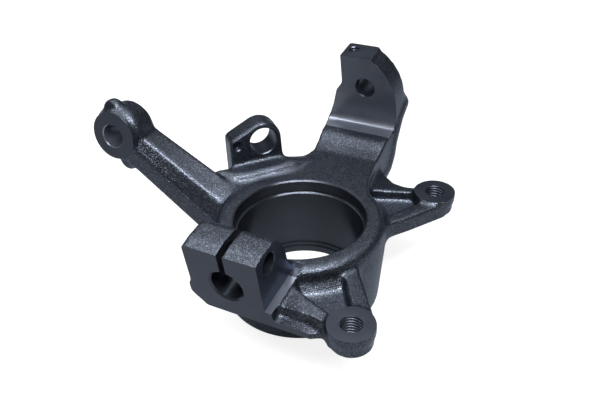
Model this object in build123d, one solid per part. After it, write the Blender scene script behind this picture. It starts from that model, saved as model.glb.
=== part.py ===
"""Steering knuckle, one iron casting with machined seats.

Frame: +Z runs inboard along the hub bore, +Y points up the vehicle towards the
upper mount, +X points to the brake caliper ears. The origin is on the bore axis
in the outboard face of the bearing housing, the face that the part stands on.
Sizes are in millimetres.
"""
import os
from math import cos, radians, sin, tan

from build123d import *

os.makedirs("parts", exist_ok=True)

# Length that reaches past the whole part, for cutting tools
beyond = 200.0

# Bearing housing and hub bore
housing_height = 51.0
housing_foot_radius = 45.2
housing_draft = 5.2
ring_radius = 48.6
ring_edge_round = 5.0
foot_chamfer = 1.2
bearing_radius = 36.0
lead_in_radius = 37.5
lead_in_depth = 7.6
edge_break = 0.8
seat_end_height = 6.2
retainer_radius = 34.9
retainer_height = 3.9
outlet_radius = 33.8

# Flange that joins the ears, and the flare of the housing above it
flange_underside = 34.3
flange_top = 38.6
web_root_radius = 48.3
web_flare_width = 4.4
web_flare_step = 0.9

# Kingpin line: the ball joint, the upper mount and their machined faces follow it
kingpin_tilt = 8.44
kingpin_x = -4.0
kingpin_height = 64.4

# Ball joint clamp, measured from the kingpin line
clamp_face_distance = 72.0
clamp_back_distance = 45.4
clamp_left = 21.5
clamp_foot_left = 23.2
clamp_step_level = -4.0
clamp_right = 20.0
clamp_top = 22.3
clamp_bottom = 18.2
clamp_foot_round = 7.0
clamp_roll_round = 12.0
clamp_back_lean = 15.0
stud_radius = 9.0
stud_chamfer = 1.0
stud_bore_end = 40.0
slot_width = 3.4
pinch_bolt_radius = 5.5
pinch_bolt_level = 13.2
pinch_bolt_distance = 60.8
spot_floor_depth = 10.4
spot_floor_width = 3.8
spot_end_distance = 32.0
spot_run_out = 14.0

# Caliper ears
ear_x = 58.7
ear_spacing = 124.2
ear_boss_radius = 12.05
ear_boss_foot_radius = 11.0
ear_parting_height = 40.6
ear_parting_step = 0.8
ear_outer_round = 10.0
ear_inner_round = 14.0
ear_face_height = 46.4
ear_thread_radius = 5.1
ear_thread_chamfer = 0.9
ear_rib_top = 44.8
inner_rib_slope = 8.0

# Upper mount plate, measured from the kingpin line
upper_face_distance = 104.6
upper_plate_thickness = 16.5
upper_hole_radius = 6.5
upper_hole_chamfer = 0.5
upper_hole_level = 5.0
upper_top_level = 26.2
upper_left = 16.0
upper_right = 21.2
upper_corner = 3.4
upper_stock = 4.0
upper_milled_floor = 22.0
upper_milled_round = 5.0
upper_milled_reach = 6.0
upper_screw_radius = 2.5
upper_screw_depth = 12.0
upper_screw_inset = 5.6
upper_screw_setback = 9.6
upper_screw_chamfer = 0.7

# Arm under the upper mount plate
arm_start = 38.0
arm_bend = 72.0
arm_depth = 23.5
arm_back = 127.0
arm_half_width = 60.0
back_rib_right = 22.6
back_rib_width = 6.0

# Steering arm and tie rod boss
tie_rod_x = -120.2
tie_rod_y = -8.2
tie_rod_height = 79.9
tie_rod_tilt = 6.0
tie_rod_boss_radius = 16.4
tie_rod_boss_shift = 0.5
tie_rod_face_radius = 14.7
tie_rod_ridge_radius = 17.2
tie_rod_boss_length = 20.0
tie_rod_upper_lump = (-2.5, 14.3)
tie_rod_lower_lump = (6.0, -16.0)
tie_rod_lump_radius = 6.6
tie_rod_mouth_radius = 7.1
tie_rod_taper_angle = 4.0
tie_rod_chamfer = 0.5

# Sensor lug, square to the radius through the hub axis
sensor_azimuth = 138.0
sensor_face_radius = 60.0
sensor_lug_thickness = 15.0
sensor_root_thickness = 6.5
sensor_height = 68.7
sensor_radius = 8.6
sensor_wall = 3.3
sensor_edge_round = 1.4
sensor_corner_round = 3.5
sensor_lug_reach = 21.0
sensor_shoulder_height = 71.6
sensor_screw_radius = 2.5
sensor_screw_offset = 16.8

# Raised band behind the ring, which carries the sensor lug
band_height = 55.4
band_fall = 18.0
band_edge = 1.2
landing_height = 50.4

kingpin = Plane(
    origin=(kingpin_x, 0, kingpin_height),
    x_dir=(1, 0, 0),
    z_dir=(0, -cos(radians(kingpin_tilt)), -sin(radians(kingpin_tilt))),
)
# Side view of the kingpin frame: x is the distance in front of it, y the level above it
kingpin_side = Plane(origin=kingpin.origin, x_dir=kingpin.z_dir, z_dir=-kingpin.x_dir)


def outline(*points):
    """Flat face inside a closed run of straight edges."""
    return make_face(Polyline(*points, close=True))


def rounded(face, rounds):
    """Round the named corners of a flat face, given as {(x, y): radius}."""
    for corner, radius in rounds.items():
        face = fillet(face.vertices().sort_by_distance((corner[0], corner[1], 0))[0], radius)
    return face


def between(plane, face, start, end):
    """Solid of the face between two distances along the plane's normal."""
    return extrude(plane.offset(start) * face, end - start)


def mirrored(points, side):
    """The points of the +Y ear, or their mirror image for the -Y ear."""
    return [(x, side * y) for x, y in points]


def side_point(distance, level):
    """Point of the kingpin frame in the part's side view, as (y, z)."""
    point = kingpin.from_local_coords((0, level, distance))
    return (point.Y, point.Z)


def housing():
    """Turned body of the bearing housing with its rounded inboard ring."""
    shoulder = (housing_foot_radius + flange_underside * tan(radians(housing_draft)), flange_underside)
    rim = (ring_radius, housing_height)
    half = outline((0, 0), (housing_foot_radius, 0), shoulder, rim, (0, housing_height))
    half = rounded(half, {rim: ring_edge_round})
    half = chamfer(half.vertices().sort_by_distance((housing_foot_radius, 0, 0))[0], foot_chamfer)
    return revolve(Plane.XZ * half, Axis.Z)


def hub_bore():
    """Stepped bore: lead-in, bearing seat, retainer step and outlet."""
    seat_top = housing_height - lead_in_depth
    half = outline(
        (0, -edge_break),
        (outlet_radius, -edge_break),
        (outlet_radius, retainer_height),
        (retainer_radius, retainer_height),
        (retainer_radius, seat_end_height),
        (bearing_radius, seat_end_height),
        (bearing_radius, seat_top - edge_break),
        (bearing_radius + edge_break, seat_top),
        (lead_in_radius, seat_top),
        (lead_in_radius, housing_height - edge_break),
        (lead_in_radius + edge_break, housing_height),
        (lead_in_radius + edge_break, 2 * housing_height),
        (0, 2 * housing_height),
    )
    return revolve(Plane.XZ * half, Axis.Z)


def clamp_block():
    """Cast block round the ball joint stud, rolled over at its back."""
    rough_right = clamp_right + spot_floor_width
    front = outline(
        (-clamp_left, clamp_top),
        (rough_right, clamp_top),
        (rough_right, -clamp_bottom),
        (-clamp_foot_left + 6, -clamp_bottom),
        (-clamp_foot_left, -clamp_bottom + 6),
        (-clamp_foot_left, clamp_step_level - 2),
        (-clamp_left, clamp_step_level),
    )
    front = rounded(front, {
        (-clamp_left, clamp_top): 0.5,
        (-clamp_foot_left + 6, -clamp_bottom): clamp_foot_round,
        (-clamp_foot_left, -clamp_bottom + 6): clamp_foot_round / 2,
    })
    side = outline(
        (clamp_face_distance, clamp_top - 1.4),
        (clamp_face_distance - 7, clamp_top),
        (clamp_back_distance + 6, clamp_top - 1),
        (clamp_back_distance, clamp_top - 14),
        (clamp_back_distance - 1, -2),
        (clamp_back_distance - clamp_back_lean + 5, clamp_back_lean - 28),
        (clamp_back_distance - clamp_back_lean, -30),
        (clamp_face_distance, -30),
    )
    side = rounded(side, {
        (clamp_back_distance + 6, clamp_top - 1): clamp_roll_round / 2,
        (clamp_face_distance - 7, clamp_top): clamp_roll_round,
        (clamp_back_distance - 1, -2): clamp_roll_round * 2 / 3,
    })
    block = between(kingpin, front, clamp_back_distance / 2, clamp_face_distance)
    return block & extrude(kingpin_side * side, beyond, both=True)


def clamp_machining():
    """Stud bore, slot, cross bolt bore and the spot-faced right side."""
    mouth = clamp_face_distance
    stud = between(kingpin, Circle(stud_radius), stud_bore_end, mouth + stud_chamfer)
    lead = kingpin.offset(mouth - stud_chamfer) * Cone(
        stud_radius, stud_radius + 2 * stud_chamfer, 2 * stud_chamfer,
        align=(Align.CENTER, Align.CENTER, Align.MIN),
    )
    slot = between(kingpin, Pos(0, clamp_top) * Rectangle(slot_width, 2 * clamp_top), 30, mouth + 10)
    floor_end = (spot_end_distance, -spot_floor_depth)
    path = outline(
        floor_end, (mouth + 10, -spot_floor_depth), (mouth + 10, 2 * clamp_top), (spot_end_distance, 2 * clamp_top),
    )
    path = rounded(path, {floor_end: spot_run_out})
    spot = between(kingpin_side, path, -clamp_right - spot_floor_width - edge_break, -clamp_right)
    bolt = kingpin_side * Pos(pinch_bolt_distance, pinch_bolt_level) * Circle(pinch_bolt_radius)
    bolt_edge = kingpin_side.offset(-clamp_right - edge_break / 2) * (
        Pos(pinch_bolt_distance, pinch_bolt_level) * Circle(pinch_bolt_radius + edge_break)
    )
    bolt_lead = extrude(bolt_edge, edge_break)
    return [stud, lead, slot, spot, extrude(bolt, beyond, both=True), bolt_lead]


# Plan corners of the +Y ear: where its outer edge leaves the housing and where it bends
ear_y = ear_spacing / 2
ear_root = (39.9, 14.1)
ear_bend = (54.1, 33.4)
ear_pocket_corner = (34, 60)


def ear_plan(side):
    """Flat plan of the web that carries one ear, on the side of +Y or -Y."""
    arm = outline(*mirrored([
        ear_root, ear_bend, (ear_x + 9.6, ear_y - 7), (ear_x, ear_y), (ear_x - 8, ear_y + 7),
        ear_pocket_corner, (18, 80), (0, 40),
    ], side))
    return rounded(arm, {(ear_pocket_corner[0], side * ear_pocket_corner[1]): ear_inner_round})


def flange():
    """Web under the caliper ears, filleted into the housing and milled with the clamp face."""
    plan = Circle(web_root_radius) + ear_plan(1) + ear_plan(-1)
    for side in (-1, 1):
        plan = rounded(plan, {(44.5, side * 20.3): ear_outer_round})
    front = outline((-20, -40), (-20, -90), (26, -90), (30, -70.5), (46, -66), (40, -40))
    plan = plan + front
    web = extrude(Plane.XY.offset(flange_underside) * plan, flange_top - flange_underside)
    flare_height = ear_rib_top - flange_top
    half = outline(
        (0, flange_top), (ring_radius + web_flare_width, flange_top),
        (ring_radius + web_flare_width, flange_top + web_flare_step), (ring_radius, ear_rib_top), (0, ear_rib_top),
    )
    flare = revolve(Plane.XZ * half, Axis.Z)
    flare = flare & extrude(Plane.XY.offset(flange_top) * plan, flare_height)
    mill = between(kingpin, Rectangle(beyond, beyond), clamp_face_distance, beyond)
    return web + flare - mill


def ear(side):
    """Caliper ear boss with its outer rib, on the side of +Y or -Y."""
    half = outline(
        (0, flange_underside), (ear_boss_foot_radius, flange_underside),
        (ear_boss_radius - ear_parting_step, ear_parting_height),
        (ear_boss_radius, ear_parting_height + ear_parting_step),
        (ear_boss_radius, ear_face_height), (0, ear_face_height),
    )
    boss = Pos(ear_x, side * ear_y, 0) * revolve(Plane.XZ * half, Axis.Z)
    rib = outline(*mirrored([
        ear_root, ear_bend, (ear_x + 8.5, ear_y - 9), (ear_x, ear_y), (ear_x - 4, ear_y - 10),
        (41.5, 31), (34, 28),
    ], side))
    rib = extrude(Plane.XY.offset(flange_underside) * rib, ear_rib_top - flange_underside)
    return boss + rib


def inner_rib(side):
    """Rib on the inner side of an ear, its top sloping away from the pocket."""
    crest_start = (24.4, side * 49.3)
    crest_end = (45, side * 57.3)
    inner_edge = [(14, side * 40), crest_start, crest_end, (52, side * 62)]
    if side > 0:
        plan = outline(*inner_edge, (46, 65.5), (39.5, 63.8), (32, 65.2), (25.5, 71.5), (18, 80), (14, 80))
        plan = rounded(plan, {(32, 65.2): 12})
    else:
        plan = outline(*inner_edge, (46, -65), (38, -63.2), (14, -62.7))
    rib = extrude(Plane.XY.offset(flange_underside) * plan, ear_rib_top + 1 - flange_underside)
    lean = radians(inner_rib_slope)
    slope = Plane(origin=(0, side * 52, ear_rib_top + 0.6), z_dir=(0, side * sin(lean), cos(lean)))
    return rib - between(slope, Rectangle(beyond, beyond), 0, beyond)


def upper_arm():
    """Arm from the ring to the upper mount plate, bent up at its end."""
    level = housing_height
    wall = upper_stock - upper_face_distance
    side = outline(
        (arm_start, level), (arm_bend, level), (arm_bend + 8, level + 2), (arm_bend + 16, level + 5.5),
        side_point(wall, -upper_milled_floor + 0.6), side_point(wall, 2 * upper_top_level),
        (arm_back + 13, level + 66), (arm_back - 5.5, level + 27), (arm_back, level + 21.5),
        (arm_back, level + 15.5), (arm_back - 10.2, level + 9), (arm_back - 19.6, level - 4),
        (arm_back - 22, level - 12), (arm_back - 29, level - 20), (arm_back - 43, level - arm_depth),
        (arm_start, level - arm_depth),
    )
    side = rounded(side, {
        (arm_bend, level): 14, (arm_bend + 8, level + 2): 14, (arm_bend + 16, level + 5.5): 14,
        (arm_back, level + 21.5): 2, (arm_back, level + 15.5): 2, (arm_back - 10.2, level + 9): 6,
        (arm_back - 19.6, level - 4): 10, (arm_back - 22, level - 12): 6, (arm_back - 29, level - 20): 8,
    })
    bar = extrude(Plane.YZ * side, arm_half_width, both=True)
    corner = (upper_corner, upper_top_level)
    shoulder = (upper_right, -4)
    front = make_face([
        Polyline(
            shoulder, (upper_right, -arm_half_width), (-arm_half_width, -arm_half_width),
            (-arm_half_width, -40), (-27.3, -22), (-23.4, -12), (-20.4, 0), (-upper_left, 6),
            (-upper_left, upper_top_level), corner,
        ),
        ThreePointArc(corner, (upper_right - 5.9, upper_top_level - 11.1), shoulder),
    ])
    column = between(kingpin, front, -beyond, -arm_start / 2)
    plan = outline(
        (-36.2, 30), (-36.2, 50.9), (-30.4, 59.2), (-27.4, 65), (-26.4, 72), (-28, 85.8), (-29.5, 96),
        (-31.6, 106.7), (-40, arm_back + 13), (arm_half_width, arm_back + 13), (arm_half_width, 30),
    )
    plan = rounded(plan, {(-27.4, 65): 12})
    back = between(kingpin, Rectangle(beyond, beyond), -beyond, -upper_face_distance - upper_plate_thickness)
    back = back & Pos(0, 0, level + 27) * Box(
        2 * beyond, 2 * beyond, beyond, align=(Align.CENTER, Align.CENTER, Align.MIN),
    )
    arm = (bar & column & extrude(plan, beyond)) - back
    root = outline((10, arm_start), (26.5, arm_start), (21, 52), (17.8, 68), (16, 80), (10, 80))
    root = rounded(root, {(21, 52): 25})
    return arm + extrude(Plane.XY.offset(level - arm_depth) * root, arm_depth)


def back_rib():
    """Rough rib that stands a little proud along the right back edge of the arm."""
    level = housing_height
    edge = [
        (arm_back, level + 19), (arm_back, level + 15.5), (arm_back - 10.2, level + 9),
        (arm_back - 19.6, level - 4), (arm_back - 22, level - 12), (arm_back - 29, level - 20),
        (arm_back - 43, level - arm_depth),
    ]
    inner = [
        (arm_back - 43, level - arm_depth + back_rib_width), (arm_back - 31, level - 15),
        (arm_back - 27.5, level - 9), (arm_back - 25, level - 1.5), (arm_back - 15.5, level + 12.5),
        (arm_back - back_rib_width, level + 19),
    ]
    side = rounded(outline(*edge, *inner), {(arm_back, level + 15.5): 2, (arm_back - 10.2, level + 9): 6})
    reach = kingpin_x + back_rib_right
    return extrude(Plane.YZ.offset(reach / 2) * side, reach / 2)


def upper_machining():
    """Milled front face of the plate, its bolt hole and the top screw hole."""
    face = -upper_face_distance
    reach = face + upper_milled_reach
    cutter = outline(
        (face, -upper_milled_floor), (face, 60), (reach, 60), (reach, -upper_milled_floor),
    )
    cutter = rounded(cutter, {(face, -upper_milled_floor): upper_milled_round})
    mill = extrude(kingpin_side * cutter, 2 * upper_left, both=True)
    hole = between(kingpin, Pos(0, upper_hole_level) * Circle(upper_hole_radius), face - 40, face + 20)
    rim = kingpin.offset(face) * Pos(0, upper_hole_level, 0) * Cone(
        upper_hole_radius, upper_hole_radius + 2 * upper_hole_chamfer, 2 * upper_hole_chamfer,
    )
    top = Plane(
        origin=kingpin.from_local_coords((-upper_left + upper_screw_inset, upper_top_level, face - upper_screw_setback)),
        z_dir=kingpin.y_dir,
    )
    screw = extrude(top * Circle(upper_screw_radius), -upper_screw_depth)
    lead = top * Cone(upper_screw_radius, upper_screw_radius + 2 * upper_screw_chamfer, 2 * upper_screw_chamfer)
    return [mill, hole, rim, screw, lead]


# Plane of the machined face on the tie rod boss
tie_rod = Plane(
    origin=(tie_rod_x, tie_rod_y, tie_rod_height),
    x_dir=(1, 0, 0),
    z_dir=(0, -cos(radians(tie_rod_tilt)), sin(radians(tie_rod_tilt))),
)


def steering_arm():
    """Slanting bar with a bevelled front edge, from the housing to the tie rod boss."""
    def section(x, height, ridge, back, shoulder, foot):
        corners = outline((-8, foot), (-8, shoulder), (-2, ridge), (12, back), (14, back - 3), (13, foot))
        return Plane.YZ.offset(x) * Pos(0, height) * corners

    bar = loft([
        section(tie_rod_x + tie_rod_boss_radius / 2, tie_rod_height, 6.1, 3.9, -1.9, -16.7),
        section(-ring_radius + ring_edge_round, housing_height, -9, -3.4, -22, -37.6),
    ])
    half = outline(
        (0, 0), (tie_rod_face_radius, 0), (tie_rod_face_radius + 0.5, -3), (tie_rod_ridge_radius - 0.4, -4.6),
        (tie_rod_ridge_radius, -7), (tie_rod_ridge_radius - 0.4, -11), (tie_rod_boss_radius, -14),
        (tie_rod_boss_radius - 0.3, -tie_rod_boss_length), (0, -tie_rod_boss_length),
    )
    boss = tie_rod * Pos(tie_rod_boss_shift, tie_rod_boss_shift, 0) * revolve(Plane.XZ * half, Axis.Z)
    arm = bar + boss
    for x, y in (tie_rod_upper_lump, tie_rod_lower_lump):
        lump = between(tie_rod, Pos(x, y) * Circle(tie_rod_lump_radius), -11, -3.5)
        arm = arm + chamfer(lump.edges().filter_by(GeomType.CIRCLE), 1.5)
    return arm


def tie_rod_bore():
    """Taper for the tie rod end, wide at the machined face."""
    reach = tie_rod_boss_length + 2
    small = tie_rod_mouth_radius - reach * tan(radians(tie_rod_taper_angle))
    taper = tie_rod * Cone(small, tie_rod_mouth_radius, reach, align=(Align.CENTER, Align.CENTER, Align.MAX))
    lead = tie_rod * Cone(
        tie_rod_mouth_radius, tie_rod_mouth_radius + tie_rod_chamfer, tie_rod_chamfer,
        align=(Align.CENTER, Align.CENTER, Align.MAX),
    )
    return [taper, lead]


def band():
    """Raised band behind the ring, between the steering arm and the upper arm."""
    plan = outline(
        (-68, 16.5), (-60.5, 23.5), (-34.8, 53), (-29.6, 58.8), (-26.8, 66), (-20.5, 66),
        (-21.5, 58), (-26.3, 45.3), (-32, 36.3), (-38.9, 29.4), (-45, 21.7), (-53, 15.5),
    )
    block = extrude(Plane.XY.offset(flange_underside) * plan, band_height - flange_underside)
    block = chamfer(block.faces().sort_by(Axis.Z)[-1].edges(), band_edge)
    fall = Plane(origin=(0, 48, band_height), z_dir=(0, sin(radians(band_fall)), cos(radians(band_fall))))
    block = block - between(fall, Rectangle(beyond, beyond), 0, beyond)
    landing = outline((-66, 4), (-40, 4), (-34, 34), (-44, 38), (-62, 20))
    return block + extrude(Plane.XY.offset(flange_underside) * landing, landing_height - flange_underside)


sensor_frame = Plane(
    origin=(0, 0, 0),
    x_dir=(sin(radians(sensor_azimuth)), -cos(radians(sensor_azimuth)), 0),
    z_dir=(-cos(radians(sensor_azimuth)), -sin(radians(sensor_azimuth)), 0),
)


def sensor_lug():
    """Upright lug for the wheel speed sensor, its back leaning out from the band."""
    outer = sensor_radius + sensor_wall
    foot = flange_underside + 1.5
    plate = outline(
        (-sensor_lug_reach, foot), (-sensor_lug_reach, sensor_shoulder_height),
        (-4.6, sensor_height + outer - 0.95), (outer, sensor_height), (outer + 1.6, foot),
    )
    plate = rounded(plate, {(-sensor_lug_reach, sensor_shoulder_height): sensor_corner_round})
    plate = plate + Pos(0, sensor_height) * Circle(outer)
    block = between(sensor_frame, plate, -sensor_face_radius - sensor_lug_thickness, -sensor_face_radius)
    front = block.faces().sort_by(lambda face: face.center().dot(sensor_frame.z_dir))
    block = fillet(front[0].edges() + front[-1].edges(), sensor_edge_round)
    root = sensor_face_radius + sensor_root_thickness
    back = sensor_face_radius + sensor_lug_thickness
    seat_foot = sensor_height - sensor_radius - 1
    lean = outline(
        (root, foot - 1), (root, seat_foot - 9), (back, seat_foot), (back + 10, seat_foot), (back + 10, foot - 1),
    )
    lean = rounded(lean, {(root, seat_foot - 9): 8})
    side = Plane(origin=(0, 0, 0), x_dir=-sensor_frame.z_dir, z_dir=-sensor_frame.x_dir)
    return block - extrude(side * lean, beyond, both=True)


def sensor_bores():
    """Sensor bore and the screw hole beside it."""
    far = -sensor_face_radius - sensor_lug_thickness - 5
    near = -sensor_face_radius + 5
    bore = between(sensor_frame, Pos(0, sensor_height) * Circle(sensor_radius), far, near)
    screw = between(
        sensor_frame, Pos(-sensor_screw_offset, sensor_height) * Circle(sensor_screw_radius), far, near
    )
    lead = sensor_frame.offset(-sensor_face_radius - edge_break / 2) * Cone(
        sensor_radius, sensor_radius + edge_break, edge_break,
        align=(Align.CENTER, Align.CENTER, Align.MIN),
    )
    return [bore, screw, Pos(0, 0, sensor_height) * lead]


def ear_threads():
    """Tapped holes through the ears, with their lead-in chamfers."""
    holes = []
    for side in (-1, 1):
        place = Pos(ear_x, side * ear_y, ear_face_height)
        holes.append(place * Cylinder(ear_thread_radius, housing_height))
        holes.append(place * Cone(
            ear_thread_radius, ear_thread_radius + 2 * ear_thread_chamfer, 2 * ear_thread_chamfer,
        ))
    return holes


casting = housing() + clamp_block() + flange() + ear(1) + ear(-1) + inner_rib(1) + inner_rib(-1)
casting = casting + upper_arm() + back_rib() + steering_arm() + band() + sensor_lug()
knuckle = casting - hub_bore()
for cut in clamp_machining() + upper_machining() + tie_rod_bore() + sensor_bores() + ear_threads():
    knuckle = knuckle - cut

print("solids", len(knuckle.solids()), "volume", round(knuckle.volume / 1000, 1), "cm3")
export_step(knuckle, "parts/steering_knuckle.step")
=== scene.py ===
# %% [markdown]
# # A steering knuckle: cast in iron, then machined
#
# A steering knuckle holds the wheel bearing and turns with the wheel. It is cast in one
# piece in sand, which leaves a grainy skin and soft edges, and then the seats for the other
# parts are cut into it, which leaves smooth faces with sharp edges. This lesson makes it in
# the same order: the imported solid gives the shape, its edges are rounded as a mould rounds
# them, and exact cutters machine it.

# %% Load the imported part
import math

import bmesh
import bpy
from mathutils import Matrix, Vector


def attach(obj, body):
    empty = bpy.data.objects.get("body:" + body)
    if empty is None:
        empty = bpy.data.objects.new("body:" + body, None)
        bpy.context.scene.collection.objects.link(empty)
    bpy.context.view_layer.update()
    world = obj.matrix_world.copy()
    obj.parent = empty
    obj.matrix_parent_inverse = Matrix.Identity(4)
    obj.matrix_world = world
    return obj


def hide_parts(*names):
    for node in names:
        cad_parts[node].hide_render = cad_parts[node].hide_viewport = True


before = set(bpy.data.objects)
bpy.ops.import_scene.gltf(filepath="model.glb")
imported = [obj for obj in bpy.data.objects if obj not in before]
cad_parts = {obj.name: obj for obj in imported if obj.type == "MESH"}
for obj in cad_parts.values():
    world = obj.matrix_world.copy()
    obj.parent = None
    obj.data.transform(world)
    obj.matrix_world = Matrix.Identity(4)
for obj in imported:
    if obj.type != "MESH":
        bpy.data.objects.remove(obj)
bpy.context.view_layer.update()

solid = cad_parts["steering_knuckle"]
print("the packed solid has", len(solid.data.polygons), "triangles")

# %% [markdown]
# ## Camera
#
# The camera stands where the picture was taken from. Its place and its three directions
# were worked out from the ellipses of the bores, so they are given here as numbers and not
# as a target to look at. The focal length follows from the picture's width in pixels.

# %% Camera
eye = Vector((0.153842, -0.284395, 0.280107))
eye_right = Vector((0.890572, 0.453564, -0.034084))
eye_up = Vector((-0.228688, 0.511282, 0.828428))
eye_back = Vector((0.393171, -0.729980, 0.559058))
lens_in_pixels = 705.13
picture_width = 600

camera = bpy.data.objects.new("camera", bpy.data.cameras.new("camera"))
camera.matrix_world = Matrix((
    (eye_right.x, eye_up.x, eye_back.x, eye.x),
    (eye_right.y, eye_up.y, eye_back.y, eye.y),
    (eye_right.z, eye_up.z, eye_back.z, eye.z),
    (0, 0, 0, 1),
))
camera.data.sensor_fit = "HORIZONTAL"
camera.data.sensor_width = 36
camera.data.lens = lens_in_pixels / picture_width * camera.data.sensor_width
camera.data.clip_start = 0.01
bpy.context.scene.collection.objects.link(camera)
bpy.context.scene.camera = camera
print("lens", round(camera.data.lens, 2), "mm")

# %% [markdown]
# ## Writing nodes
#
# A finish is easier to read as sums than as wires. A small class wraps a socket, so that
# `turns * pitch` adds the Math node itself. Any other node comes from one method that takes
# the node's kind, its settings and what goes into its sockets. The same writer serves the
# materials, the world and the Geometry Nodes.


# %% Node writer
class Wire:
    """A socket that can be added and multiplied."""

    def __init__(self, writer, socket):
        self.writer = writer
        self.socket = socket

    def math(self, operation, first, second):
        """The result of a Math node on two values."""
        values = {0: first, 1: second}
        return self.writer.node("ShaderNodeMath", {"operation": operation}, values)

    def __add__(self, other):
        return self.math("ADD", self, other)

    def __radd__(self, other):
        return self.math("ADD", other, self)

    def __mul__(self, other):
        return self.math("MULTIPLY", self, other)

    def __rmul__(self, other):
        return self.math("MULTIPLY", other, self)


class Writer:
    """The nodes of a material, of the world or of a Geometry Nodes tree."""

    def __init__(self, owner):
        self.owner = owner
        if isinstance(owner, bpy.types.NodeTree):
            self.tree = owner
        else:
            owner.use_nodes = True
            self.tree = owner.node_tree
        self.tree.nodes.clear()

    def node(self, kind, settings=None, values=None, out=0):
        """One output of a new node, by its number or its name."""
        made = self.tree.nodes.new(kind)
        for name, setting in (settings or {}).items():
            setattr(made, name, setting)
        for name, value in (values or {}).items():
            if isinstance(value, Wire):
                self.tree.links.new(value.socket, made.inputs[name])
            else:
                made.inputs[name].default_value = value
        return Wire(self, made.outputs[out])

    def grain(self, place, size, detail=2.0, roughness=0.5):
        """Noise from 0 to 1 with spots of this size in metres."""
        values = {"Vector": place, "Scale": 1 / size, "Detail": detail, "Roughness": roughness}
        return self.node("ShaderNodeTexNoise", {}, values, "Fac")

    def between(self, value, low, high, to_low=0.0, to_high=1.0):
        """The value spread smoothly from one range to another."""
        values = {"Value": value, 1: low, 2: high, 3: to_low, 4: to_high}
        return self.node("ShaderNodeMapRange", {"interpolation_type": "SMOOTHSTEP"}, values)

    def blend(self, share, first, second):
        """A colour between two; 6, 7 and 2 are the Mix node's colour sockets."""
        values = {0: share, 6: first, 7: second}
        return self.node("ShaderNodeMix", {"data_type": "RGBA"}, values, 2)

    def close(self, kind, last, name="Surface"):
        """Join the last wire to the tree's end node."""
        end = self.tree.nodes.new(kind)
        self.tree.links.new(last.socket, end.inputs[name])
        print(self.owner.name, "has", len(self.tree.nodes), "nodes")


# %% [markdown]
# ## Floor
#
# A catalogue picture has a white ground. Lighting a floor until it is white would flood the
# part with light from below. So this floor is a middle grey that takes the shadow, with a
# light of its own that only the camera and mirrors see. That light is a little weaker near
# the part, so that the shadow still shows there, and in mirrors it is far weaker, so that
# the undersides stay dark.

# %% Floor
glow_near, glow_far = 0.3, 0.9
near_strength, far_strength = 0.85, 1.0
mirrored_strength = 0.16
floor_reach = 4

floor_finish = bpy.data.materials.new("white_floor")
paper = Writer(floor_finish)
floor_place = paper.node("ShaderNodeTexCoord", out="Object")
from_middle = paper.node(
    "ShaderNodeVectorMath", {"operation": "LENGTH"}, {0: floor_place}, "Value"
)
glow = paper.between(from_middle, glow_near, glow_far, near_strength, far_strength)
seen_light = paper.node("ShaderNodeLightPath", out="Is Camera Ray") * glow
mirrored_light = paper.node("ShaderNodeLightPath", out="Is Glossy Ray") * mirrored_strength
shadow_ground = paper.node("ShaderNodeBsdfDiffuse", {}, {"Color": (0.3, 0.3, 0.3, 1)})
own_light = paper.node("ShaderNodeEmission", {}, {
    "Color": (1, 1, 1, 1), "Strength": seen_light + mirrored_light,
})
paper.close(
    "ShaderNodeOutputMaterial",
    paper.node("ShaderNodeAddShader", {}, {0: shadow_ground, 1: own_light}),
)

floor_corners = [
    (-floor_reach, -floor_reach, 0), (floor_reach, -floor_reach, 0),
    (floor_reach, floor_reach, 0), (-floor_reach, floor_reach, 0),
]
floor_mesh = bpy.data.meshes.new("floor")
floor_mesh.from_pydata(floor_corners, [], [(0, 1, 2, 3)])
floor_mesh.materials.append(floor_finish)
floor = bpy.data.objects.new("floor", floor_mesh)
bpy.context.scene.collection.objects.link(floor)
print("floor", [round(side, 1) for side in floor.dimensions], "m")

# %% [markdown]
# ## Surroundings
#
# The room is treated as the floor is: pale where the camera looks past the floor, and only
# a dim, slightly blue fill as light on the part, which keeps the dark sides from going
# black.

# %% Surroundings
world = bpy.data.worlds.new("white_room")
bpy.context.scene.world = world
room = Writer(world)
room_seen = room.node("ShaderNodeMath", {"operation": "MAXIMUM"}, {
    0: room.node("ShaderNodeLightPath", out="Is Camera Ray"),
    1: room.node("ShaderNodeLightPath", out="Is Transmission Ray"),
})
fill_light = room.node("ShaderNodeBackground", {}, {
    "Color": (0.93, 0.96, 1.0, 1), "Strength": 0.12,
})
backdrop = room.node("ShaderNodeBackground", {}, {
    "Color": (0.8, 0.8, 0.8, 1), "Strength": 1.0,
})
room.close("ShaderNodeOutputWorld", room.node("ShaderNodeMixShader", {}, {
    "Fac": room_seen, 1: fill_light, 2: backdrop,
}))
bpy.context.scene.view_settings.view_transform = "Standard"

# %% [markdown]
# ## Lamps
#
# The part is as dark and glossy as coated iron is, so what shows is mostly what it mirrors.
# A large box above and behind gives the grey of the top faces. A small box at the left and
# a long narrow one at the right give the glints along the rounded edges. They stand high
# and to the sides, because the grain would mirror a lamp in front as sparks.


# %% Lamps
def soft_lamp(name, place, target, width, height, power):
    """A rectangular soft box that faces a point."""
    data = bpy.data.lights.new(name, "AREA")
    data.shape = "RECTANGLE"
    data.size = width
    data.size_y = height
    data.energy = power
    lamp = bpy.data.objects.new(name, data)
    lamp.location = place
    lamp.rotation_mode = "QUATERNION"
    lamp.rotation_quaternion = (Vector(target) - Vector(place)).to_track_quat("-Z", "Y")
    bpy.context.scene.collection.objects.link(lamp)
    print("lamp", name, power, "W")


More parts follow.
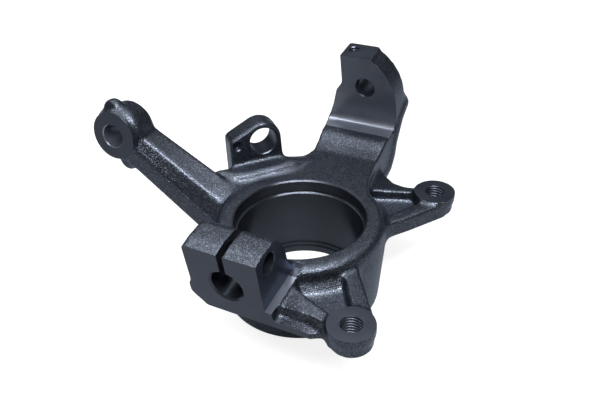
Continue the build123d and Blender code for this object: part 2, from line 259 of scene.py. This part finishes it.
part_middle = (-0.02, 0.02, 0.05)
soft_lamp("top_box", (-0.2, 0.28, 1.0), (-0.2, 0.28, 0), 1.2, 0.9, 8)
soft_lamp("left_box", (-0.5, -0.05, 0.9), part_middle, 0.3, 0.3, 1.4)
soft_lamp("right_box", (0.28, -0.34, 0.88), part_middle, 0.7, 0.25, 12.5)

# %% [markdown]
# ## Cast skin
#
# Sand leaves grains about half a millimetre across, and the dark coat over them shines, so
# each grain catches the light on one side. Real bumps of that size would take millions of
# faces, so a noise bends the light instead. A pattern of cells of the same size paints pale
# flakes into the colour: partly a grain tone that varies at random, partly painted glints
# of the grains. A broad noise varies the tone as the mould does.
# All of it is read from Object coordinates, so that it stays on the iron when the part is
# moved.

# %% Cast finish
sand_size = 0.0005
sand_height = 0.00006
flake_size = 0.00045
wave_size = 0.02
cool_tint = (0.8, 0.88, 1, 1)

cast_skin = bpy.data.materials.new("cast_skin")
cast = Writer(cast_skin)
cast_place = cast.node("ShaderNodeTexCoord", out="Object")
sand = cast.grain(cast_place, sand_size, 0.0)
cast_bump = cast.node("ShaderNodeBump", {}, {
    "Height": cast.between(sand, 0.3, 0.7), "Distance": sand_height, "Strength": 1.0,
})
cells = cast.node("ShaderNodeTexVoronoi", {}, {
    "Vector": cast_place, "Scale": 1 / flake_size,
}, "Color")
# Pale flakes: painted glints of the grain, and a grain tone that varies at random
painted_glint_flakes = cast.between(cells, 0.5, 0.85)
mould_waves = cast.grain(cast_place, wave_size)
cast_tone = cast.blend(mould_waves, (0.036, 0.042, 0.054, 1), (0.050, 0.058, 0.075, 1))
cast_colour = cast.blend(painted_glint_flakes, cast_tone, (0.12, 0.135, 0.168, 1))
cast.close("ShaderNodeOutputMaterial", cast.node("ShaderNodeBsdfPrincipled", {}, {
    "Base Color": cast_colour, "Roughness": 0.29, "Metallic": 0.9,
    "Specular Tint": cool_tint, "Normal": cast_bump,
}))

# %% [markdown]
# ## Machined skins
#
# A turned or milled face is far smoother than the casting and carries fine parallel marks
# of the tool. One recipe makes three skins of it. Most faces have the dark coat and hardly
# any marks. In the hub bore the marks are rings, so noise that is stretched round the axis
# makes them, deeper than elsewhere, and the light spreads across them into upright streaks.
# The upper plate, the tie rod bore and the floor of the spot face get a paler copy. It is
# partly the brighter freshly milled metal and partly painted light: it lights the inside of
# the tie rod bore and paints the highlight on the floor of the spot face.


# %% Machined finishes
mark_spacing = 0.00045
along_marks = (0.05, 0.05, 1.0)
cloud_size = 0.012


def machined_finish(name, mark_depth, spread, dark, light):
    """Cut metal between two tones; its marks, of a depth in metres, spread light upright."""
    skin = bpy.data.materials.new(name)
    metal = Writer(skin)
    place = metal.node("ShaderNodeTexCoord", out="Object")
    squeezed = metal.node("ShaderNodeMapping", {}, {"Vector": place, "Scale": along_marks})
    tool_marks = metal.grain(squeezed, mark_spacing)
    bump = metal.node("ShaderNodeBump", {}, {
        "Height": tool_marks, "Distance": mark_depth, "Strength": 1.0,
    })
    cloud = metal.grain(place, cloud_size, 3.0, 0.55)
    metal.close("ShaderNodeOutputMaterial", metal.node("ShaderNodeBsdfPrincipled", {}, {
        "Base Color": metal.blend(cloud, dark, light),
        "Roughness": metal.between(cloud, 0.3, 0.7, 0.28, 0.34),
        "Metallic": 0.85, "Specular Tint": cool_tint,
        "Anisotropic": spread, "Anisotropic Rotation": 0.25, "Normal": bump,
    }))
    return skin


machined_skin = machined_finish(
    "machined_skin", 0.00002, 0.0, (0.044, 0.050, 0.066, 1), (0.066, 0.075, 0.098, 1)
)
bored_skin = machined_finish(
    "bored_skin", 0.00008, 0.85, (0.042, 0.048, 0.060, 1), (0.056, 0.063, 0.078, 1)
)
# Paler copy: partly freshly milled metal, partly painted light in the tie rod bore and a
# painted highlight on the spot face's floor
pale_and_painted_light_skin = machined_finish(
    "pale_and_painted_light_skin", 0.00002, 0.0, (0.200, 0.220, 0.265, 1), (0.270, 0.295, 0.350, 1)
)

# %% [markdown]
# ## Places for the cutters
#
# On the machine the casting is clamped anew for each group of seats, so that the tool
# stands square to them. In the same way every cutter here is drawn in millimetres in a
# frame of its own, where its numbers are plain: the part's frame for the hub, one along the
# kingpin line for the ball joint and the upper mount, one square to the sensor lug and one
# on the tie rod boss. A matrix carries it to its place in metres.


# %% Frames
def frame_at(origin, x_axis, z_axis):
    """Matrix from millimetres in a frame with these axes to metres on the part."""
    x_axis = Vector(x_axis).normalized()
    z_axis = Vector(z_axis).normalized()
    y_axis = z_axis.cross(x_axis)
    turn = Matrix((x_axis, y_axis, z_axis)).transposed().to_4x4()
    return Matrix.Scale(0.001, 4) @ Matrix.Translation(origin) @ turn


kingpin_tilt = math.radians(8.44)
kingpin_origin = (-4, 0, 64.4)
sensor_turn = math.radians(138)
tie_rod_tilt = math.radians(6)
tie_rod_middle = (-120.2, -8.2, 79.9)

front = (0, -math.cos(kingpin_tilt), -math.sin(kingpin_tilt))
outward = (-math.cos(sensor_turn), -math.sin(sensor_turn), 0)
hub = frame_at((0, 0, 0), (1, 0, 0), (0, 0, 1))
kingpin = frame_at(kingpin_origin, (1, 0, 0), front)
kingpin_side = frame_at(kingpin_origin, front, (-1, 0, 0))
lug = frame_at((0, 0, 0), (math.sin(sensor_turn), -math.cos(sensor_turn), 0), outward)
tie_rod = frame_at(
    tie_rod_middle, (1, 0, 0), (0, -math.cos(tie_rod_tilt), math.sin(tie_rod_tilt))
)
print("kingpin line leans", round(math.degrees(kingpin_tilt), 2), "degrees")

# %% Seats and holes in those frames
clamp_front = 72
upper_front = -104.6
upper_top = 26.2
ear_top = 46.4
lug_front = -60.2
lug_back = -74.8

upright_screw = Matrix.Rotation(math.radians(-90), 4, "X")
hole_places = {
    "ear low": hub @ Matrix.Translation((58.7, -62.1, 0)),
    "ear high": hub @ Matrix.Translation((58.7, 62.1, 0)),
    "pinch bolt": kingpin_side @ Matrix.Translation((60.8, 13.2, 0)),
    "upper bolt": kingpin @ Matrix.Translation((0, 5, 0)),
    "upper screw": kingpin @ Matrix.Translation((-10.4, upper_top, -114.2)) @ upright_screw,
    "sensor": lug @ Matrix.Translation((0, 68.7, 0)),
    "lug screw": lug @ Matrix.Translation((-16.8, 68.7, 0)),
}
for name, place in hole_places.items():
    print(name, "hole at", [round(c * 1000, 1) for c in place.to_translation()], "mm")

# %% [markdown]
# ## Drawing tools
#
# What a lathe or a drill cuts is a solid of revolution, and what a milling cutter leaves is
# a flat outline moved along a line. So two kinds of solid make all the plugs and cutters:
# one turned from a profile, and one spanned between two outlines.


# %% Turned solids
def piece_from(bm, name, place):
    """A new object from drawn faces, carried to its place, with its normals outward."""
    bmesh.ops.transform(bm, matrix=place, verts=bm.verts)
    bmesh.ops.recalc_face_normals(bm, faces=bm.faces)
    mesh = bpy.data.meshes.new(name)
    bm.to_mesh(mesh)
    bm.free()
    piece = bpy.data.objects.new(name, mesh)
    bpy.context.scene.collection.objects.link(piece)
    return piece


def turned(name, place, profile, steps=96):
    """A solid turned round the frame's z axis from (radius, height) points."""
    angles = [2 * math.pi * step / steps for step in range(steps)]
    bm = bmesh.new()
    rings = []
    for radius, height in profile:
        if radius == 0:
            rings.append([bm.verts.new((0, 0, height))] * steps)
        else:
            rings.append([
                bm.verts.new((radius * math.cos(a), radius * math.sin(a), height))
                for a in angles
            ])
    for low, high in zip(rings, rings[1:]):
        for step in range(steps):
            after = (step + 1) % steps
            corners = [low[step], low[after], high[after], high[step]]
            bm.faces.new(dict.fromkeys(corners))
    return piece_from(bm, name, place)


def pin(name, place, radius, start, end):
    """A cylinder round the frame's z axis between two heights."""
    return turned(name, place, [(0, start), (radius, start), (radius, end), (0, end)])


# %% Spanned solids
def lofted(name, place, first, last):
    """A solid between two outlines in space that have as many points."""
    bm = bmesh.new()
    low = [bm.verts.new(point) for point in first]
    high = [bm.verts.new(point) for point in last]
    bm.faces.new(low)
    bm.faces.new(high)
    for step in range(len(first)):
        after = (step + 1) % len(first)
        bm.faces.new((low[step], low[after], high[after], high[step]))
    return piece_from(bm, name, place)


def prism(name, place, outline, start, end):
    """A solid between two heights over a flat outline in the frame's xy plane."""
    first = [(x, y, start) for x, y in outline]
    last = [(x, y, end) for x, y in outline]
    return lofted(name, place, first, last)


def block(name, place, low, high):
    """A box between two corners of the frame."""
    outline = [(low[0], low[1]), (high[0], low[1]), (high[0], high[1]), (low[0], high[1])]
    return prism(name, place, outline, low[2], high[2])


def arc(middle, radius, start, end, steps):
    """Points along an arc between two directions in degrees."""
    turns = [math.radians(start + (end - start) * step / steps) for step in range(steps + 1)]
    return [(middle[0] + radius * math.cos(t), middle[1] + radius * math.sin(t)) for t in turns]


# %% [markdown]
# ## Rough casting
#
# The casting leaves the mould without bores and with some iron to spare on the faces that
# are machined later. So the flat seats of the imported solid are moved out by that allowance,
# and its bores are plugged. The plugs only have to overlap the iron: the next step reads
# everything as one volume.

# %% Spare iron on the seats
allowance = 2.5
seat_planes = {
    "outboard face": (hub, (0, 0, 0), (0, 0, -1)),
    "ear faces": (hub, (0, 0, ear_top), (0, 0, 1)),
    "clamp face": (kingpin, (0, 0, clamp_front), (0, 0, 1)),
    "upper mount face": (kingpin, (0, 0, upper_front), (0, 0, 1)),
    "upper top face": (kingpin, (0, upper_top, 0), (0, 1, 0)),
    "tie rod face": (tie_rod, (0, 0, 0), (0, 0, 1)),
}
same_direction = 0.9999
same_plane = 2e-5

rough = bmesh.new()
rough.from_mesh(solid.data)
bmesh.ops.remove_doubles(rough, verts=rough.verts, dist=1e-7)
rough.normal_update()
for name, (place, point, direction) in seat_planes.items():
    origin = place @ Vector(point)
    normal = (place.to_3x3() @ Vector(direction)).normalized()
    flat = [f for f in rough.faces if f.normal.dot(normal) > same_direction
            and abs((f.calc_center_median() - origin).dot(normal)) < same_plane]
    for vertex in {v for f in flat for v in f.verts}:
        vertex.co += normal * allowance * 0.001
    print(name, "moved out:", len(flat), "faces")
rough_mesh = bpy.data.meshes.new("rough_casting")
rough.to_mesh(rough_mesh)
rough.free()
casting = bpy.data.objects.new("steering_knuckle_casting", rough_mesh)
bpy.context.scene.collection.objects.link(casting)

# %% Plugs in the bores
clamp_stock = clamp_front + allowance
upper_stock = upper_front + allowance
clamp_roll = [
    (46.3, 9), (50.3, 17.8), (51.6, 19.8), (55, 21.2), (62, 21.75), (68, 21.3),
    (clamp_stock, 20.2),
]
spot_filling = [(46, -12)] + clamp_roll + [(clamp_stock, -12)]
slot_filling = [(45.4, 0)] + clamp_roll + [(clamp_stock, 0)]
plugs = [
    pin("hub_plug", hub, 40, -allowance, 50.9),
    pin("stud_plug", kingpin, 12, 46.5, clamp_stock),
    prism("spot_plug", kingpin_side, spot_filling, -23.8, -18),
    prism("slot_plug", kingpin_side, slot_filling, -4, 4),
    pin("pinch_plug", hole_places["pinch bolt"], 8, -19, 20),
    pin("upper_plug", hole_places["upper bolt"], 9, -120.6, upper_stock),
    block("upper_screw_plug", kingpin, (-14, 10, -118), (-7, upper_top + allowance, -110)),
    pin("tie_rod_plug", tie_rod, 9, -19.5, allowance),
    pin("sensor_plug", hole_places["sensor"], 10, lug_back, lug_front),
    pin("lug_screw_plug", hole_places["lug screw"], 3.4, lug_back, lug_front),
    pin("ear_low_plug", hole_places["ear low"], 8, 34.5, ear_top + allowance),
    pin("ear_high_plug", hole_places["ear high"], 8, 34.5, ear_top + allowance),
]
plugged = bmesh.new()
plugged.from_mesh(casting.data)
for plug in plugs:
    plugged.from_mesh(plug.data)
    bpy.data.objects.remove(plug)
plugged.to_mesh(casting.data)
plugged.free()
print(len(plugs), "plugs joined")

# %% [markdown]
# ## Rounded edges
#
# Molten iron and packed sand leave no sharp corner anywhere. A bevel fails where this many
# edges cross, so the casting is stored as a signed distance grid instead, which knows how
# far each point is from the skin. A skin at another distance is then a true offset: out by
# the fillet radius and back fills the hollow corners, and in by the edge radius and back
# rounds the sharp ones. That softens all edges at once.


# %% Trees with named inputs
def node_tree(name, size_names):
    """The writer of a Geometry Nodes tree with an input for each size and for the skin."""
    group = bpy.data.node_groups.new(name, "GeometryNodeTree")
    new_socket = group.interface.new_socket
    new_socket("Geometry", in_out="INPUT", socket_type="NodeSocketGeometry")
    for size_name in size_names:
        new_socket(size_name, in_out="INPUT", socket_type="NodeSocketFloat")
    new_socket("Skin", in_out="INPUT", socket_type="NodeSocketMaterial")
    new_socket("Geometry", in_out="OUTPUT", socket_type="NodeSocketGeometry")
    return Writer(group)


def use_tree(piece, writer, values):
    """Put the tree on a piece, with its inputs set through their identifiers."""
    user = piece.modifiers.new(writer.owner.name, "NODES")
    user.node_group = writer.owner
    for socket in writer.owner.interface.items_tree:
        if socket.in_out == "INPUT" and socket.name in values:
            user[socket.identifier] = values[socket.name]


def apply_all(piece):
    """Turn a piece with modifiers into a plain mesh."""
    depsgraph = bpy.context.evaluated_depsgraph_get()
    made = bpy.data.meshes.new_from_object(piece.evaluated_get(depsgraph))
    piece.modifiers.clear()
    piece.data = made


# %% The tree that rounds a casting
band_in_voxels = 6
rounding_steps = (
    ("Fillet radius", 1), ("Fillet radius", -1), ("Edge radius", -1), ("Edge radius", 1),
)

rounding = node_tree("round_casting", ("Voxel", "Fillet radius", "Edge radius"))
shape = rounding.node("NodeGroupInput", out="Geometry")
for radius_name, sign in rounding_steps:
    grid = rounding.node("GeometryNodeMeshToSDFGrid", {}, {
        "Mesh": shape, "Voxel Size": rounding.node("NodeGroupInput", out="Voxel"),
        "Band Width": band_in_voxels,
    })
    distance = rounding.node("NodeGroupInput", out=radius_name) * sign
    shape = rounding.node("GeometryNodeGridToMesh", {}, {"Grid": grid, "Threshold": distance})
shape = rounding.node("GeometryNodeRealizeInstances", {}, {"Geometry": shape})
shape = rounding.node("GeometryNodeSetShadeSmooth", {}, {"Geometry": shape})
shape = rounding.node("GeometryNodeSetMaterial", {}, {
    "Geometry": shape, "Material": rounding.node("NodeGroupInput", out="Skin"),
})
rounding.close("NodeGroupOutput", shape, "Geometry")

# %% Round the casting
use_tree(casting, rounding, {
    "Voxel": 0.0008, "Fillet radius": 0.0016, "Edge radius": 0.0009, "Skin": cast_skin,
})
settle = casting.modifiers.new("settle", "SMOOTH")
settle.factor = 0.5
settle.iterations = 3
thin_out = casting.modifiers.new("thin_out", "DECIMATE")
thin_out.ratio = 0.5
apply_all(casting)
print("rounded casting:", len(casting.data.polygons), "faces")

# %% [markdown]
# ## Shoulder of the hub
#
# On the arm's side the ring runs into the steering arm and the foot of the sensor lug. The
# pattern maker blends them there by hand, with a far larger fillet than elsewhere. Smoothing
# only the points of that sector, with shares that fade out at its edges, does the same.


# %% Blend the shoulder
def fade(value, start, end):
    """Share from 0 at the start to 1 at the end."""
    return min(max((value - start) / (end - start), 0.0), 1.0)


def shoulder_share(point):
    """How much a point in metres belongs to the shoulder, in millimetres and degrees."""
    x, y, z = point * 1000
    reach = math.hypot(x, y)
    turn = math.degrees(math.atan2(y, x)) % 360
    in_ring = fade(reach, 40, 44) * fade(reach, 61, 56)
    in_sector = fade(turn, 95, 108) * fade(turn, 206, 196)
    return in_ring * fade(z, 40, 46) * in_sector


shoulder = casting.vertex_groups.new(name="shoulder")
blended = 0
for vertex in casting.data.vertices:
    share = shoulder_share(vertex.co)
    if share > 0:
        shoulder.add([vertex.index], share, "REPLACE")
        blended += 1
blend = casting.modifiers.new("blend_shoulder", "SMOOTH")
blend.vertex_group = shoulder.name
blend.factor = 0.5
blend.iterations = 60
apply_all(casting)
casting.vertex_groups.clear()
print(blended, "points blended")

# %% [markdown]
# ## Machining
#
# Each cutter is one tool path: a boring bar for the stepped hub bore, a milling cutter for
# the faces, drills for the holes. Taking them out of the rounded casting with booleans
# leaves what a machine leaves, a smooth seat that meets the rough skin in a sharp edge.

# %% Hub bore and outboard face
opening_radius = 33.8
step_radius = 34.9
bearing_radius = 36
lead_in_radius = 37.5
hub_profile = [
    (0, -6), (opening_radius, -6), (opening_radius, 3.9), (step_radius, 3.9),
    (step_radius, 6.2), (bearing_radius, 6.2), (bearing_radius, 42.6),
    (bearing_radius + 0.8, 43.4), (lead_in_radius, 43.4), (lead_in_radius, 50.2),
    (lead_in_radius + 1.2, 51.4), (lead_in_radius + 1.2, 60), (0, 60),
]
foot_profile = [(0, -8), (70, -8), (70, 1.35), (45.35, 1.35), (44, 0), (0, 0)]
round_steps = 256
cutters = [
    turned("hub_bore", hub, hub_profile, round_steps),
    turned("outboard_face", hub, foot_profile, round_steps),
]
print("hub:", len(cutters), "cutters")

# %% [markdown]
# ## Ball joint clamp
#
# The ball joint's stud is held in a split block: a bolt across the slot pinches the bore
# shut on it. The block is machined along the kingpin line. The seat for the bolt's head is
# milled with a round cutter, which leaves its radius in the corner, so the seat's outline
# is drawn from the side with an arc in it.

# %% Ball joint clamp
stud_radius = 9
bolt_radius = 5.5
bolt_entry_radius = 6.3
half_slot = 1.7
spot_floor = -10.4
spot_radius = 14
spot_corner = arc((46, spot_floor + spot_radius), spot_radius, 270, 180, 12)
spot_outline = [(90, spot_floor)] + spot_corner + [(32, 50), (90, 50)]
stud_profile = [
    (0, 40), (stud_radius, 40), (stud_radius, 71), (12, 74), (12, 92), (0, 92),
]
pinch_profile = [
    (0, -60), (bolt_entry_radius, -60), (bolt_entry_radius, -20.3), (bolt_radius, -19.5),
    (bolt_radius, 60), (0, 60),
]
cutters += [
    block("clamp_face", kingpin, (-45, -45, clamp_front), (44, 45, 90)),
    turned("stud_bore", kingpin, stud_profile),
    block("clamp_slot", kingpin, (-half_slot, 0, 30), (half_slot, 44, 90)),
    prism("spot_face", kingpin_side, spot_outline, -24.6, -20),
    turned("pinch_bore", hole_places["pinch bolt"], pinch_profile, 64),
]
print("with the clamp:", len(cutters), "cutters")

# %% [markdown]
# ## Caliper ears
#
# The brake caliper is bolted to two ears. Their faces are milled to one height and their
# holes are tapped. A ridge is wound into each hole later, so the hole is bored here to the
# bottom of the thread's groove.

# %% Caliper ears
ear_root = 5.5
ear_mouth = 5.7
ear_profile = [
    (0, 20), (6, 20), (6, 34.3), (ear_root, 34.8), (ear_root, 46.2), (ear_mouth, ear_top),
    (ear_mouth, 57), (0, 57),
]
for name in ("ear low", "ear high"):
    cutters.append(pin("ear_face", hole_places[name], 18, ear_top, 56))
    cutters.append(turned("ear_hole", hole_places[name], ear_profile))
print("with the ears:", len(cutters), "cutters")

# %% [markdown]
# ## Upper mount
#
# The upper arm ends in a plate with a milled face, a bolt hole and a small screw hole from
# above. The mill stops before the hub and leaves its own radius there. So its cutter is
# drawn from the side too, with that run-out as an arc.

# %% Upper mount
mount_radius = 6.5
mount_mouth = 7.1
run_out_radius = 5
run_out_middle = (upper_front + run_out_radius, -22 + run_out_radius)
run_out = arc(run_out_middle, run_out_radius, 180, 270, 9)
mill_outline = [(upper_front, 60)] + run_out + [(-92, -22), (-92, 60)]
mount_profile = [
    (0, -130), (mount_radius, -130), (mount_radius, -105.1), (mount_mouth, -104.5),
    (mount_mouth, -95), (0, -95),
]
screw_root = 2.9
screw_mouth = 3.6
screw_profile = [
    (0, -12), (screw_root, -12), (screw_root, -0.6), (screw_mouth, 0.1), (screw_mouth, 9),
    (0, 9),
]
cutters += [
    prism("upper_mill", kingpin_side, mill_outline, -32, 32),
    block("upper_top", kingpin, (-40, upper_top, -135), (40, 45, -90)),
    turned("upper_hole", hole_places["upper bolt"], mount_profile, 64),
    turned("upper_screw", hole_places["upper screw"], screw_profile, 48),
]
print("with the upper mount:", len(cutters), "cutters")

# %% [markdown]
# ## Tie rod boss and sensor lug
#
# The tie rod's stud is tapered, so that its nut draws it tight, and the bore in the boss
# narrows with it. The wheel speed sensor sits in a plain bore of the lug, held by a screw
# beside it. Both are turned profiles with their edges broken.

# %% Tie rod boss and sensor lug
taper = math.tan(math.radians(4))
taper_mouth = 7.1
taper_rim = 7.6
taper_profile = [
    (0, -24), (taper_mouth - 24 * taper, -24), (taper_mouth - 0.5 * taper, -0.5),
    (taper_rim, 0), (taper_rim, 9), (0, 9),
]
sensor_radius = 8.6
sensor_mouth = 9.4
sensor_profile = [
    (0, -90), (sensor_radius, -90), (sensor_radius, -60.6), (sensor_mouth, -59.8),
    (sensor_mouth, -50), (0, -50),
]
lug_screw_profile = [
    (0, -90), (screw_root, -90), (screw_root, -60.5), (screw_mouth, -59.8),
    (screw_mouth, -50), (0, -50),
]
cutters += [
    pin("tie_rod_face", tie_rod, 24, 0, 8),
    turned("tie_rod_bore", tie_rod, taper_profile, 64),
    turned("sensor_bore", hole_places["sensor"], sensor_profile, 64),
    turned("sensor_screw", hole_places["lug screw"], lug_screw_profile, 48),
]
print("with the boss and the lug:", len(cutters), "cutters")

# %% [markdown]
# ## Parting step on the arm
#
# The two halves of the mould meet along the front of the steering arm. The upper half sat a
# little further back, so a narrow ledge runs along the bevel's lower edge. A cutter between
# two outlines, one at each end of the arm, makes it too, but it keeps the cast skin. It
# fades out towards the boss, where its outline stays just outside the iron.


# %% Parting step
def step_section(x, ridge, foot, depth):
    """Outline of what the bevel loses at one place, between its ridge and its foot."""
    upper = (x, -2.5 + 0.1 * depth, ridge - 0.7)
    return [(x, -8 + depth, foot), upper, (x, -6, ridge + 2), (x, -10, foot)]


at_boss = step_section(-104, 80.9, 72.3, -0.2)
at_hub = step_section(-51, 46.8, 34.3, 1.2)
cutters.append(lofted("parting_step", hub, at_boss, at_hub))
print("parting step from x", at_boss[0][0], "to", at_hub[0][0], "mm")

# %% [markdown]
# ## Cutting
#
# The faces that a cutter leaves keep the cutter's material, so each cutter is given the
# skin of its tool first. Most leave the common machined skin.

# %% Cut
casting.data.materials.clear()
for skin in (cast_skin, machined_skin, bored_skin, pale_and_painted_light_skin):
    casting.data.materials.append(skin)
# On the upper mill the paler skin is the freshly milled metal; in the tie rod bore it is
# painted light
cutter_skins = {
    "hub_bore": bored_skin, "upper_mill": pale_and_painted_light_skin,
    "tie_rod_bore": pale_and_painted_light_skin, "parting_step": cast_skin,
}
spot_floor_face = 2
for cutter in cutters:
    cutter.data.materials.append(cutter_skins.get(cutter.name, machined_skin))
    # The floor of the spot face takes the paler skin as a painted highlight
    if cutter.name == "spot_face":
        cutter.data.materials.append(pale_and_painted_light_skin)
        cutter.data.polygons[spot_floor_face].material_index = 1
    boolean = casting.modifiers.new(cutter.name, "BOOLEAN")
    boolean.operation = "DIFFERENCE"
    boolean.solver = "MANIFOLD"
    boolean.object = cutter
apply_all(casting)
for cutter in cutters:
    bpy.data.objects.remove(cutter)
print("machined casting:", len(casting.data.polygons), "faces,",
      [skin.name for skin in casting.data.materials])

# %% [markdown]
# ## Threads
#
# A tap cuts a thread as one long groove that winds down the hole, and what stays between its
# turns is a ridge with a flat crest. So each hole is bored to the bottom of the groove and
# the ridge is added: a spiral curve with the ridge's section run along it. One node tree
# winds all four, with its sizes given as inputs.

# %% The tree that winds a thread
points_per_turn = 40
tooth_outline = ((-0.15, -0.46), (-0.15, 0.46), (1.0, 0.07), (1.0, -0.07))
thread_inputs = ("Turns", "Pitch", "Root radius", "Tooth depth")

winding = node_tree("wind_thread", thread_inputs)
turns, pitch, root_radius, tooth_depth = (
    winding.node("NodeGroupInput", out=name) for name in thread_inputs
)
spiral = winding.node("GeometryNodeCurveSpiral", {}, {
    "Resolution": points_per_turn, "Rotations": turns, "Start Radius": root_radius,
    "End Radius": root_radius, "Height": turns * pitch, "Reverse": True,
})
upright = winding.node("GeometryNodeSetCurveNormal", {"mode": "Z_UP"}, {"Curve": spiral})
tooth_corners = {}
for number, (depth_share, pitch_share) in enumerate(tooth_outline, 1):
    tooth_corners["Point " + str(number)] = winding.node("ShaderNodeCombineXYZ", {}, {
        "X": tooth_depth * depth_share, "Y": pitch * pitch_share,
    })
tooth = winding.node(
    "GeometryNodeCurvePrimitiveQuadrilateral", {"mode": "POINTS"}, tooth_corners
)
ridge = winding.node("GeometryNodeCurveToMesh", {}, {
    "Curve": upright, "Profile Curve": tooth, "Fill Caps": True,
})
ridge = winding.node("GeometryNodeRealizeInstances", {}, {"Geometry": ridge})
ridge = winding.node("GeometryNodeSetMaterial", {}, {
    "Geometry": ridge, "Material": winding.node("NodeGroupInput", out="Skin"),
})
winding.close("NodeGroupOutput", ridge, "Geometry")


# %% Wind the threads
def threaded(name, place, start, sizes):
    """The ridge of a right-hand thread that winds up the frame's z axis from a height."""
    piece = bpy.data.objects.new(name, bpy.data.meshes.new(name))
    bpy.context.scene.collection.objects.link(piece)
    use_tree(piece, winding, {**dict(zip(thread_inputs, sizes)), "Skin": machined_skin})
    apply_all(piece)
    piece.data.transform(place @ Matrix.Translation((0, 0, start)))
    return piece


ear_sizes = (5.9, 1.75, ear_root, 0.6)
top_sizes = (10.0, 1.0, screw_root, 0.4)
lug_sizes = (13.0, 1.0, screw_root, 0.4)
threads = [
    threaded("steering_knuckle_thread_low", hole_places["ear low"], 35.2, ear_sizes),
    threaded("steering_knuckle_thread_high", hole_places["ear high"], 35.2, ear_sizes),
    threaded("steering_knuckle_thread_top", hole_places["upper screw"], -11.4, top_sizes),
    threaded("steering_knuckle_thread_lug", hole_places["lug screw"], -74.2, lug_sizes),
]
for thread in threads:
    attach(thread, "root")
print("threads", [len(thread.data.polygons) for thread in threads])

# %% [markdown]
# ## Handing over
#
# The finished iron stands for the imported solid and moves with the same body.

# %% Hand over
casting.name = "steering_knuckle_iron"
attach(casting, "root")
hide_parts("steering_knuckle")
